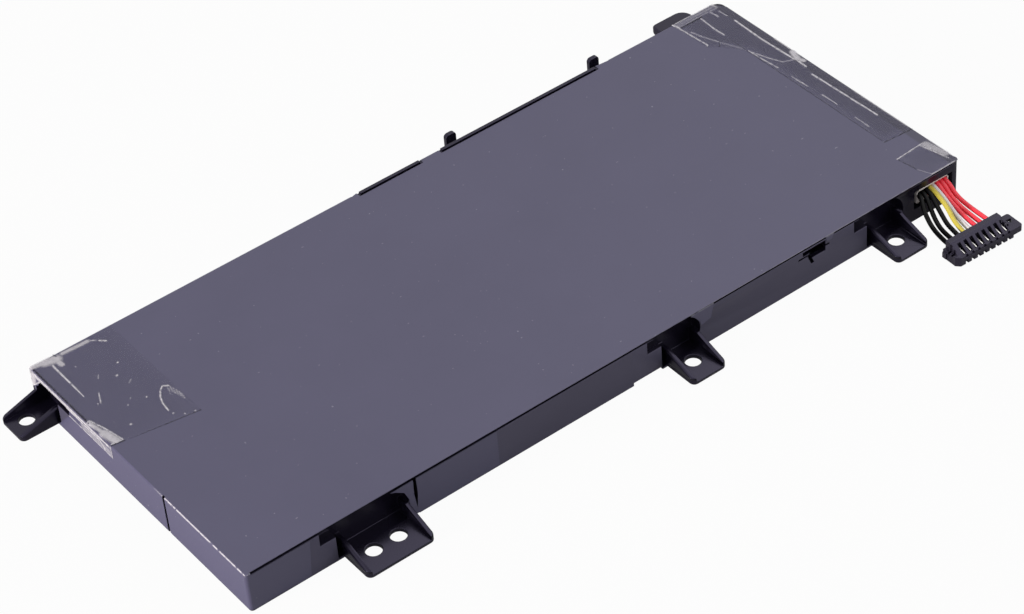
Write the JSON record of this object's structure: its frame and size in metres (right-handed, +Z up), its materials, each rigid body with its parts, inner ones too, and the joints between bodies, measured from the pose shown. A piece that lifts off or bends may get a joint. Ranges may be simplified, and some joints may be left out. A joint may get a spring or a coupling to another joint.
{
  "type": "laptop battery pack",
  "caption": "Flat laptop battery pack: film-wrapped moulded frame with screw ears and cable hooks, pouch cells, protection board and a short wired plug.",
  "frame": {"origin": "middle of the flat underside", "axes": "+X along the pack towards the end with the wire exit, +Y towards the long side with the cable hooks, +Z up through the film"},
  "size_m": [0.1983, 0.1069, 0.0105],
  "materials": {
    "rail_plastic": "satin black moulding, glossier inside the ear pockets",
    "film": "charcoal film with a faint violet cast, satin",
    "clear_tape": "thin clear tape with whitened creases",
    "pouch_foil": "dull silver laminated foil",
    "adhesive": "thin white double-sided tape",
    "nickel": "nickel strip",
    "aluminium_tab": "thin aluminium strip",
    "tab_tape": "amber insulating tape",
    "board_laminate": "dark green solder mask",
    "chip_resin": "black moulded resin",
    "fuse_body": "pale ceramic-filled body",
    "capacitor_ceramic": "tan ceramic block",
    "thermistor_resin": "dark dipped resin",
    "foam": "soft black foam",
    "header_plastic": "off-white moulding",
    "pin_metal": "tinned brass",
    "plug_plastic": "black moulding",
    "contact_metal": "bright plated blades",
    "black_insulation": "soft insulation",
    "yellow_insulation": "soft insulation",
    "white_insulation": "soft insulation",
    "red_insulation": "soft insulation"
  },
  "bodies": {
    "root": {"corner_rail": "rail_plastic", "end_rail": "rail_plastic", "front_rail": "rail_plastic", "exit_rail": "rail_plastic", "right_rail": "rail_plastic", "back_rail": "rail_plastic", "base_sheet": "rail_plastic", "top_film": "film", "left_wall_film": "film", "back_wall_film": "film", "right_wall_film": "film", "front_corner_film": "film", "front_film_patch": "film", "front_film_tabs": "film", "left_corner_tape": "clear_tape", "right_end_tape": "clear_tape", "right_corner_tape": "clear_tape", "front_cell": "pouch_foil", "back_cell": "pouch_foil", "front_cell_adhesive": "adhesive", "back_cell_adhesive": "adhesive", "front_negative_tab": "nickel", "back_negative_tab": "nickel", "front_positive_tab": "aluminium_tab", "back_positive_tab": "aluminium_tab", "pack_negative_pad": "nickel", "series_link": "nickel", "pack_positive_pad": "nickel", "front_tab_tape": "tab_tape", "back_tab_tape": "tab_tape", "circuit_board": "board_laminate", "gauge_chip": "chip_resin", "protector_chip": "chip_resin", "charge_switch": "chip_resin", "discharge_switch": "chip_resin", "fuse": "fuse_body", "sense_resistor": "chip_resin", "capacitors": "capacitor_ceramic", "resistors": "chip_resin", "thermistor": "thermistor_resin", "board_foam_pad": "foam", "board_header": "header_plastic", "header_pins": "pin_metal", "wire_housing": "header_plastic", "plug_housing": "plug_plastic", "plug_contacts": "contact_metal", "black_wire_1": "black_insulation", "black_wire_2": "black_insulation", "black_wire_3": "black_insulation", "yellow_wire": "yellow_insulation", "white_wire": "white_insulation", "red_wire_1": "red_insulation", "red_wire_2": "red_insulation", "red_wire_3": "red_insulation"}
  },
  "joints": []
}
